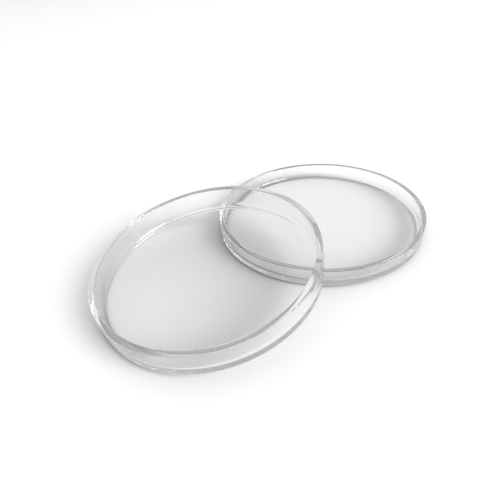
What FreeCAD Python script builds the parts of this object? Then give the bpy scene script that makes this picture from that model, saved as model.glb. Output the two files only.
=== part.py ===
"""Petri dish in two pieces: a dish, and the wider, shallower lid that fits over it.

The lid lies open side up, flat on the table, with the origin at the centre of its underside. The dish lies
open side up too, and leans on it: its underside rests on the lid's rim and its lower edge on the table.
+X runs from the dish to the lid, +Z is up, and the sizes are in millimetres.
"""
import FreeCAD, Part
import math
import os
import Sketcher

SIZES = {
    "dish_diameter": 95.0,    # outside
    "dish_height": 12.0,
    "dish_wall": 2.5,
    "dish_floor": 1.5,
    "lid_clearance": 0.3,     # all round, between the dish's outside and the lid's inside
    "lid_height": 9.0,
    "lid_wall": 2.2,
    "lid_floor": 1.5,
    "foot_radius": 2.0,       # rounded edge between an underside and its wall
    "floor_fillet": 2.5,      # inside corner between a floor and its wall
    "rim_radius": 0.4,        # fire-polished edges of a rim
    "lean_angle": 8.3,        # degrees, from the table to the dish's underside
    "lean_gap": 0.3,          # between the dish's underside and the lid's rim
}

SAME_PLACE = 1e-6             # mm, between an edge and where it is looked for
LEAST_CHANGE = 1e-3           # mm3, that a fillet must take away or add
LEAST_OVERLAP = 1e-6          # mm3, above which the two pieces cut into each other

DISH_RADIUS = "(Sizes.dish_diameter / 2)"
LID_INNER_RADIUS = f"({DISH_RADIUS} + Sizes.lid_clearance)"
LID_RADIUS = f"({LID_INNER_RADIUS} + Sizes.lid_wall)"

SIN = "sin(Sizes.lean_angle * 1 deg)"
COS = "cos(Sizes.lean_angle * 1 deg)"
# The dish's rounded lower edge touches the table, which sets the height of its underside's centre.
LEAN_Z = f"(({DISH_RADIUS} - Sizes.foot_radius) * {SIN} + Sizes.foot_radius * (1 - {COS}))"
# The underside clears the lid's rounded rim by the gap, which sets how far the dish stands from the lid.
RIM_X = f"({LID_RADIUS} - Sizes.rim_radius)"
RIM_Z = "(Sizes.lid_height - Sizes.rim_radius)"
LEAN_X = f"(-{RIM_X} + ({COS} * ({LEAN_Z} - {RIM_Z}) - Sizes.rim_radius - Sizes.lean_gap) / {SIN})"


def add_sheet(doc):
    """Write the driving sizes to a spreadsheet, each under its own alias."""
    sheet = doc.addObject("Spreadsheet::Sheet", "Sizes")
    for row, (name, value) in enumerate(SIZES.items(), start=1):
        sheet.set(f"A{row}", name)
        sheet.set(f"B{row}", str(value))
        sheet.setAlias(f"B{row}", name)
    doc.recompute()
    return sheet


def origin_feature(body, role):
    """Return one of the body's origin planes or axes."""
    return next(feature for feature in body.Origin.OriginFeatures if feature.Role == role)


def profile_sketch(body, radius, inner_radius, floor, height):
    """Draw half of the section of an open dish, on the body's XZ plane, with its sizes bound to the sheet."""
    sketch = body.newObject("Sketcher::SketchObject", f"{body.Name}_section")
    sketch.AttachmentSupport = [(origin_feature(body, "XZ_Plane"), "")]
    sketch.MapMode = "FlatFace"

    # A rough outline to start from: the bound constraints below give it its real size.
    rough_radius, rough_inner, rough_height, rough_floor = 50.0, 48.0, 10.0, 2.0
    corners = [
        (0.0, 0.0),
        (rough_radius, 0.0),
        (rough_radius, rough_height),
        (rough_inner, rough_height),
        (rough_inner, rough_floor),
        (0.0, rough_floor),
    ]
    for start, end in zip(corners, corners[1:] + corners[:1]):
        line = Part.LineSegment(FreeCAD.Vector(*start, 0), FreeCAD.Vector(*end, 0))
        sketch.addGeometry(line, False)
    under, outside, rim, inside, floor_top, middle = range(len(corners))
    start_point, end_point = 1, 2
    axes_origin = -1
    for index in range(len(corners)):
        following = (index + 1) % len(corners)
        sketch.addConstraint(Sketcher.Constraint("Coincident", index, end_point, following, start_point))
    for level in (under, rim, floor_top):
        sketch.addConstraint(Sketcher.Constraint("Horizontal", level))
    for upright in (outside, inside, middle):
        sketch.addConstraint(Sketcher.Constraint("Vertical", upright))
    sketch.addConstraint(Sketcher.Constraint("Coincident", under, start_point, axes_origin, start_point))

    def bind(name, kind, line, point, value, expression):
        constraint = Sketcher.Constraint(kind, axes_origin, start_point, line, point, value)
        sketch.addConstraint(constraint)
        sketch.renameConstraint(sketch.ConstraintCount - 1, name)
        sketch.setExpression(f"Constraints.{name}", expression)

    bind("outer_radius", "DistanceX", outside, start_point, rough_radius, radius)
    bind("inner_radius", "DistanceX", inside, start_point, rough_inner, inner_radius)
    bind("full_height", "DistanceY", rim, start_point, rough_height, height)
    bind("floor_height", "DistanceY", floor_top, start_point, rough_floor, floor)
    return sketch


def circle_edges(feature, places):
    """Name the feature's circular edges that lie at the given (radius, height) places."""
    names = []
    for index, edge in enumerate(feature.Shape.Edges, start=1):
        if not isinstance(edge.Curve, Part.Circle):
            continue
        found = (edge.Curve.Radius, edge.Curve.Center.z)
        if any(math.dist(found, want) < SAME_PLACE for want in places):
            names.append(f"Edge{index}")
    if len(names) != len(places):
        raise RuntimeError(f"{feature.Name}: {len(names)} of {len(places)} edges found")
    return names


def add_fillet(doc, body, name, base, places, radius):
    """Round the edges at the given places, and check that the body's volume follows."""
    fillet = body.newObject("PartDesign::Fillet", f"{body.Name}_{name}")
    fillet.Base = (base, circle_edges(base, places))
    fillet.setExpression("Radius", radius)
    body.Tip = fillet
    doc.recompute()
    if abs(fillet.Shape.Volume - base.Shape.Volume) < LEAST_CHANGE:
        raise RuntimeError(f"{fillet.Name} rounded nothing")
    return fillet


def add_open_dish(doc, name, radius, inner_radius, floor, height):
    """Turn the section into an open dish, then round its foot, its inside corner and its rim."""
    body = doc.addObject("PartDesign::Body", name)
    body.Label = name
    sketch = profile_sketch(body, radius, inner_radius, floor, height)
    doc.recompute()

    turned = body.newObject("PartDesign::Revolution", f"{name}_turned")
    turned.Profile = sketch
    turned.ReferenceAxis = (sketch, ["V_Axis"])
    turned.Angle = 360.0
    sketch.Visibility = False
    body.Tip = turned
    doc.recompute()

    outer = sketch.getDatum("outer_radius").Value
    inner = sketch.getDatum("inner_radius").Value
    top = sketch.getDatum("full_height").Value
    bottom = sketch.getDatum("floor_height").Value
    foot = add_fillet(doc, body, "foot", turned, [(outer, 0.0)], "Sizes.foot_radius")
    corner = add_fillet(doc, body, "corner", foot, [(inner, bottom)], "Sizes.floor_fillet")
    add_fillet(doc, body, "rim", corner, [(outer, top), (inner, top)], "Sizes.rim_radius")
    return body


def add_lid(doc):
    """The lid: it lies flat, open side up, at the origin."""
    return add_open_dish(doc, "lid", LID_RADIUS, LID_INNER_RADIUS, "Sizes.lid_floor", "Sizes.lid_height")


def add_dish(doc):
    """The dish: it leans, with its underside on the lid's rim and its lower edge on the table."""
    inner_radius = f"({DISH_RADIUS} - Sizes.dish_wall)"
    body = add_open_dish(doc, "dish", DISH_RADIUS, inner_radius, "Sizes.dish_floor", "Sizes.dish_height")
    tilt_axis = FreeCAD.Vector(0, -1, 0)
    body.Placement = FreeCAD.Placement(FreeCAD.Vector(), FreeCAD.Rotation(tilt_axis, SIZES["lean_angle"]))
    body.setExpression("Placement.Rotation.Angle", "Sizes.lean_angle * 1 deg")
    body.setExpression("Placement.Base.x", LEAN_X)
    body.setExpression("Placement.Base.z", LEAN_Z)
    return body


def check(doc, bodies):
    """Stop if any object failed to build, or if the two pieces overlap."""
    for item in doc.Objects:
        if {"Invalid", "Error"} & set(item.State):
            raise RuntimeError(f"{item.Name} is {item.State}")
    for body in bodies:
        if body.Shape.isNull() or not body.Shape.isValid() or len(body.Shape.Solids) != 1:
            raise RuntimeError(f"{body.Label} has no valid solid")
    lid, dish = bodies
    if lid.Shape.common(dish.Shape).Volume > LEAST_OVERLAP:
        raise RuntimeError("the dish cuts into the lid")


def main():
    """Build both pieces and write a STEP file for each."""
    doc = FreeCAD.newDocument("petri_dish")
    add_sheet(doc)
    bodies = [add_lid(doc), add_dish(doc)]
    doc.recompute()
    check(doc, bodies)
    os.makedirs("parts", exist_ok=True)
    for body in bodies:
        body.Shape.exportStep(f"parts/{body.Label}.step")
        box = body.Shape.optimalBoundingBox(False, False)
        low = f"{box.XMin:.2f} {box.YMin:.2f} {box.ZMin:.2f}"
        high = f"{box.XMax:.2f} {box.YMax:.2f} {box.ZMax:.2f}"
        print(f"{body.Label}: {low} to {high} mm, {body.Shape.Volume / 1000:.2f} cm3")


main()
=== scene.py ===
"""Clear glass petri dish on a white table: the lid lies open side up, and the dish leans on its rim."""
import math
import bpy
import bmesh
from mathutils import Matrix, Vector


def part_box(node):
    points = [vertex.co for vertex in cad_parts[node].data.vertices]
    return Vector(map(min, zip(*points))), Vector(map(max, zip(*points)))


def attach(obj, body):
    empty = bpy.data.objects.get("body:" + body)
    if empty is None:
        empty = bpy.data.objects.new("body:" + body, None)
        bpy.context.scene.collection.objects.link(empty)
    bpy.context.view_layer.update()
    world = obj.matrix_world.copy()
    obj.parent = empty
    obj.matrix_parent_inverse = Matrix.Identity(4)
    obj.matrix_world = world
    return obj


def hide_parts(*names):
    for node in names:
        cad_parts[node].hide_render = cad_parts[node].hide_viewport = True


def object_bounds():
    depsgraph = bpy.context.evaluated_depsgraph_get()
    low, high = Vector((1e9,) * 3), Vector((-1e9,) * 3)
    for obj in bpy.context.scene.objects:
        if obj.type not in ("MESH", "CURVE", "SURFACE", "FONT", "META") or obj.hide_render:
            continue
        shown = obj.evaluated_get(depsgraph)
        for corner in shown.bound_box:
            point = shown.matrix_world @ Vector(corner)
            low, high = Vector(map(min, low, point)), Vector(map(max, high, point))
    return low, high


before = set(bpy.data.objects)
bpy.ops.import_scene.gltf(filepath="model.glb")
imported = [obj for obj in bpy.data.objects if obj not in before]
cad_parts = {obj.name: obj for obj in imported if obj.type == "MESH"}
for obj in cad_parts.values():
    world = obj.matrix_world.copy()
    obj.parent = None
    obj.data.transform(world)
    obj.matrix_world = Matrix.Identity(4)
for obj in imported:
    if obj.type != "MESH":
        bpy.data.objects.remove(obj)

cad_low, cad_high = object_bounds()

MM = 0.001                     # Blender's unit is the metre

# Sizes of the glassware, as in the CAD model. The radii and the lid's height come from the boxes of the CAD
# parts.
DISH_HEIGHT = 12.0 * MM
DISH_WALL = 2.5 * MM
LID_WALL = 2.2 * MM
GLASS_FLOOR = 1.5 * MM
FOOT_RADIUS = 2.0 * MM
FLOOR_FILLET = 2.5 * MM
RIM_RADIUS = 0.4 * MM
LEAN = math.radians(8.3)

TURN_STEPS = 512               # in a full turn
ARC_STEPS = 14                 # in each rounded edge

# The walls wander from a true circle by up to this depth, as pressed glass does. Each wave has the number
# of times that it goes up and down in a turn, how fast the piece's phase shifts it, and its share.
WANDER_DEPTH = 0.02 * MM
WANDER_MIDDLE = 0.5
WANDER_WAVES = [(3, 1.0, 0.3), (7, 2.3, 0.2)]
LID_PHASE = 0.4
DISH_PHASE = 1.9

# The camera looks at a point of the table from this direction, slightly rolled.
VIEW_AZIMUTH = math.radians(51.92)
VIEW_ELEVATION = math.radians(36.76)
VIEW_ROLL = math.radians(-4.97)
VIEW_DISTANCE = 196.25 * MM
VIEW_AIM = Vector((-40.0 * MM, 7.93 * MM, 0.0))
NEAREST_SEEN = 10.0 * MM
LENS = 29.65                   # focal length and sensor width in millimetres, as Blender has them
SENSOR = 36.0

TABLE_SIZE = 12.0
TABLE_DROP = 0.2 * MM          # the table lies just under the glass, so that the faces don't coincide

WHITE = (1.0, 1.0, 1.0, 1.0)
ROOM_LIGHT = 0.68
LAMP_TURN = math.radians(35)   # from the camera's right towards the camera
LAMP_ELEVATION = math.radians(30)
LAMP_DISTANCE = 8.0
LAMP_SIZE = 5.4
LAMP_POWER = 758.0             # watts
LIGHT_BOUNCES = 48             # light crosses a glass floor edgewise in many small bounces
GLINT_LIMIT = 2.5              # the brightest that one sample of bounced light may be, so no glint speckles

# The finish of the glass: a faint ripple, and haze that comes in as its noise goes from START to FULL.
GLASS_IOR = 1.5
RIPPLE_SCALE = 70.0
RIPPLE_DETAIL = 1.0
RIPPLE_DEPTH = 0.01 * MM
HAZE_SCALE = 160.0
HAZE_DETAIL = 4.0
HAZE_START = 0.45
HAZE_FULL = 0.75
HAZE_ROUGHNESS = 0.015
DEPTH_GREY = 0.5               # each metre of glass absorbs (1 - grey) * density
DEPTH_DENSITY = 7.5

# Share of the light that gets through one surface on its way to the table, by how level the surface lies.
LIGHT_THROUGH = [(0.16, 0.55), (0.28, 0.1), (0.93, 0.1), (0.995, 0.95)]

PAPER_GREYS = [(0.0, 0.885), (1.0, 0.905)]
PAPER_ROUGHNESS = 0.9
TOOTH_SCALE = 900.0
TOOTH_DETAIL = 3.0


def add_object(name, data):
    """Put a mesh, lamp or camera into the scene."""
    item = bpy.data.objects.new(name, data)
    bpy.context.scene.collection.objects.link(item)
    return item


def arc(centre_r, centre_z, radius, start, end):
    """Points of a rounded edge of the section, from one angle to another, in degrees."""
    points = []
    for step in range(ARC_STEPS + 1):
        angle = math.radians(start + (end - start) * step / ARC_STEPS)
        points.append((centre_r + radius * math.cos(angle), centre_z + radius * math.sin(angle)))
    return points


def open_dish_section(radius, height, wall):
    """Half of the section of an open dish, from the middle of its underside round to its floor's middle."""
    inner = radius - wall
    foot = arc(radius - FOOT_RADIUS, FOOT_RADIUS, FOOT_RADIUS, -90, 0)
    outer_lip = arc(radius - RIM_RADIUS, height - RIM_RADIUS, RIM_RADIUS, 0, 90)
    inner_lip = arc(inner + RIM_RADIUS, height - RIM_RADIUS, RIM_RADIUS, 90, 180)
    corner = arc(inner - FLOOR_FILLET, GLASS_FLOOR + FLOOR_FILLET, FLOOR_FILLET, 0, -90)
    return [(0.0, 0.0)] + foot + outer_lip + inner_lip + corner + [(0.0, GLASS_FLOOR)]


def wander(angle, phase):
    """How far in from the true circle the glass lies at this angle, from 0 to 1."""
    inward = WANDER_MIDDLE
    for ups, shift, share in WANDER_WAVES:
        inward -= share * math.sin(ups * angle + shift * phase)
    return inward


def add_ring(mesh, radius, height, phase):
    """Add one turn of a point of the section, or a single vertex where the point is on the axis."""
    if radius == 0.0:
        return [mesh.verts.new((0, 0, height))]
    ring = []
    for step in range(TURN_STEPS):
        angle = 2 * math.pi * step / TURN_STEPS
        reach = radius - WANDER_DEPTH * wander(angle, phase)
        ring.append(mesh.verts.new((reach * math.cos(angle), reach * math.sin(angle), height)))
    return ring


def turn(name, section, phase):
    """Turn a section about the Z axis into one closed, smooth mesh."""
    mesh = bmesh.new()
    rings = [add_ring(mesh, radius, height, phase) for radius, height in section]
    for lower, upper in zip(rings, rings[1:]):
        for step in range(TURN_STEPS):
            following = (step + 1) % TURN_STEPS
            if len(lower) == 1:
                mesh.faces.new((lower[0], upper[following], upper[step]))
            elif len(upper) == 1:
                mesh.faces.new((lower[step], lower[following], upper[0]))
            else:
                mesh.faces.new((lower[step], lower[following], upper[following], upper[step]))
    bmesh.ops.recalc_face_normals(mesh, faces=mesh.faces)
    data = bpy.data.meshes.new(name)
    mesh.to_mesh(data)
    mesh.free()
    data.polygons.foreach_set("use_smooth", [True] * len(data.polygons))
    return add_object(name, data)


def box_of(piece):
    """Lowest and highest corners of a mesh whose object sits at the origin."""
    places = [vertex.co for vertex in piece.data.vertices]
    low = Vector([min(place[axis] for place in places) for axis in range(3)])
    high = Vector([max(place[axis] for place in places) for axis in range(3)])
    return low, high


def add_glass_piece(name, node, height, wall, lean, phase, glass):
    """Model a piece of glassware at the size and place of its CAD node, which it stands for."""
    low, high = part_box(node)
    radius = (high.y - low.y) / 2
    piece = turn(name, open_dish_section(radius, height, wall), phase)
    piece.data.transform(Matrix.Rotation(-lean, 4, "Y"))
    own_low, own_high = box_of(piece)
    piece.data.transform(Matrix.Translation((low + high - own_low - own_high) / 2))
    piece.data.materials.append(glass)
    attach(piece, node)
    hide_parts(node)


def new_material(name):
    """A new material, and its Principled shader."""
    material = bpy.data.materials.new(name)
    material.use_nodes = True
    return material, material.node_tree.nodes["Principled BSDF"]


def add_node(material, kind, **inputs):
    """Add a shader node and set its constant inputs, whose names are written with underscores."""
    node = material.node_tree.nodes.new(kind)
    for name, value in inputs.items():
        node.inputs[name.replace("_", " ")].default_value = value
    return node


def grey(brightness):
    """A grey of this brightness, as Blender has colours."""
    return (brightness, brightness, brightness, 1.0)


def grey_ramp(material, stops):
    """Add a colour ramp of greys, each given by its position and its brightness."""
    ramp = add_node(material, "ShaderNodeValToRGB")
    elements = ramp.color_ramp.elements
    while len(elements) < len(stops):
        elements.new(1.0)
    for element, (position, brightness) in zip(elements, stops):
        element.position = position
        element.color = grey(brightness)
    return ramp


def light_through(material, shader):
    """Let light reach the table through the glass, which the camera still sees as solid glass.

    The level floors pass most of the light, upright walls about half, and the rounded edges bend it away.
    """
    link = material.node_tree.links.new
    upward = add_node(material, "ShaderNodeSeparateXYZ")
    level = add_node(material, "ShaderNodeMath")
    level.operation = "ABSOLUTE"
    share = grey_ramp(material, LIGHT_THROUGH)
    passing = add_node(material, "ShaderNodeBsdfTransparent")
    link(add_node(material, "ShaderNodeNewGeometry").outputs["Normal"], upward.inputs["Vector"])
    link(upward.outputs["Z"], level.inputs[0])
    link(level.outputs["Value"], share.inputs["Fac"])
    link(share.outputs["Color"], passing.inputs["Color"])

    path = add_node(material, "ShaderNodeLightPath")
    surface = shader.outputs["BSDF"]
    for kind in ("Is Shadow Ray", "Is Diffuse Ray"):
        choice = add_node(material, "ShaderNodeMixShader")
        link(path.outputs[kind], choice.inputs["Fac"])
        link(surface, choice.inputs[1])
        link(passing.outputs["BSDF"], choice.inputs[2])
        surface = choice.outputs["Shader"]
    link(surface, material.node_tree.nodes["Material Output"].inputs["Surface"])


def clear_glass():
    """Polished glass: neutral, clear but grey in its depth, faintly wavy, with a breath of haze."""
    material, shader = new_material("clear_glass")
    link = material.node_tree.links.new
    shader.inputs["Base Color"].default_value = WHITE
    shader.inputs["IOR"].default_value = GLASS_IOR
    shader.inputs["Transmission Weight"].default_value = 1.0

    place = add_node(material, "ShaderNodeTexCoord").outputs["Object"]
    waves = add_node(material, "ShaderNodeTexNoise", Scale=RIPPLE_SCALE, Detail=RIPPLE_DETAIL)
    ripple = add_node(material, "ShaderNodeBump", Strength=1.0, Distance=RIPPLE_DEPTH)
    link(place, waves.inputs["Vector"])
    link(waves.outputs["Fac"], ripple.inputs["Height"])
    link(ripple.outputs["Normal"], shader.inputs["Normal"])

    clouds = add_node(material, "ShaderNodeTexNoise", Scale=HAZE_SCALE, Detail=HAZE_DETAIL)
    haze = add_node(
        material, "ShaderNodeMapRange",
        From_Min=HAZE_START, From_Max=HAZE_FULL, To_Min=0.0, To_Max=HAZE_ROUGHNESS,
    )
    link(place, clouds.inputs["Vector"])
    link(clouds.outputs["Fac"], haze.inputs["Value"])
    link(haze.outputs["Result"], shader.inputs["Roughness"])

    depth = add_node(material, "ShaderNodeVolumeAbsorption", Color=grey(DEPTH_GREY), Density=DEPTH_DENSITY)
    link(depth.outputs["Volume"], material.node_tree.nodes["Material Output"].inputs["Volume"])
    light_through(material, shader)
    return material


def table_paper():
    """Matt white paper with a fine tooth."""
    material, shader = new_material("table_paper")
    link = material.node_tree.links.new
    shader.inputs["Roughness"].default_value = PAPER_ROUGHNESS
    shader.inputs["Specular IOR Level"].default_value = 0.0
    tooth = add_node(material, "ShaderNodeTexNoise", Scale=TOOTH_SCALE, Detail=TOOTH_DETAIL)
    shade = grey_ramp(material, PAPER_GREYS)
    link(add_node(material, "ShaderNodeTexCoord").outputs["Object"], tooth.inputs["Vector"])
    link(tooth.outputs["Fac"], shade.inputs["Fac"])
    link(shade.outputs["Color"], shader.inputs["Base Color"])
    return material


def add_table():
    """The white table under the glass."""
    half = TABLE_SIZE / 2
    corners = [(-half, -half, 0.0), (half, -half, 0.0), (half, half, 0.0), (-half, half, 0.0)]
    data = bpy.data.meshes.new("table")
    data.from_pydata(corners, [], [(0, 1, 2, 3)])
    data.materials.append(table_paper())
    table = add_object("table", data)
    table.location.z = cad_low.z - TABLE_DROP


def add_camera():
    """Add the camera, and return the directions on the table that run away from it and to its right."""
    away = Vector((math.cos(VIEW_AZIMUTH), math.sin(VIEW_AZIMUTH), 0.0))
    rightward = Vector((away.y, -away.x, 0.0))
    back = Vector((0.0, 0.0, math.sin(VIEW_ELEVATION))) - math.cos(VIEW_ELEVATION) * away
    level_turn = Matrix((rightward, back.cross(rightward), back)).transposed()
    turned = (level_turn @ Matrix.Rotation(VIEW_ROLL, 3, "Z")).to_4x4()
    data = bpy.data.cameras.new("camera")
    data.lens = LENS
    data.sensor_width = SENSOR
    data.clip_start = NEAREST_SEEN
    camera = add_object("camera", data)
    camera.matrix_world = Matrix.Translation(VIEW_AIM + VIEW_DISTANCE * back) @ turned
    bpy.context.scene.camera = camera
    return away, rightward


def add_lights(away, rightward):
    """A white room all round, and a soft lamp in front and to the right."""
    world = bpy.data.worlds.new("white_room")
    world.use_nodes = True
    background = world.node_tree.nodes["Background"]
    background.inputs["Color"].default_value = WHITE
    background.inputs["Strength"].default_value = ROOM_LIGHT
    bpy.context.scene.world = world

    data = bpy.data.lights.new("soft_lamp", "AREA")
    data.shape = "DISK"
    data.size = LAMP_SIZE
    data.energy = LAMP_POWER
    level = math.cos(LAMP_ELEVATION)
    direction = level * (math.cos(LAMP_TURN) * rightward - math.sin(LAMP_TURN) * away)
    direction.z = math.sin(LAMP_ELEVATION)
    lamp = add_object("soft_lamp", data)
    lamp.location = VIEW_AIM + LAMP_DISTANCE * direction
    lamp.rotation_euler = (-direction).to_track_quat("-Z", "Y").to_euler()


def set_light_paths():
    """Let light cross thick glass edgewise, calm the glints, and keep the whites of a high-key picture."""
    scene = bpy.context.scene
    scene.cycles.max_bounces = LIGHT_BOUNCES
    scene.cycles.glossy_bounces = LIGHT_BOUNCES
    scene.cycles.transmission_bounces = LIGHT_BOUNCES
    scene.cycles.sample_clamp_indirect = GLINT_LIMIT
    scene.view_settings.view_transform = "Standard"


away, rightward = add_camera()
add_table()
add_lights(away, rightward)
set_light_paths()
glass = clear_glass()
lid_low, lid_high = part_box("lid")
add_glass_piece("lid_glass", "lid", lid_high.z - lid_low.z, LID_WALL, 0.0, LID_PHASE, glass)
add_glass_piece("dish_glass", "dish", DISH_HEIGHT, DISH_WALL, LEAN, DISH_PHASE, glass)
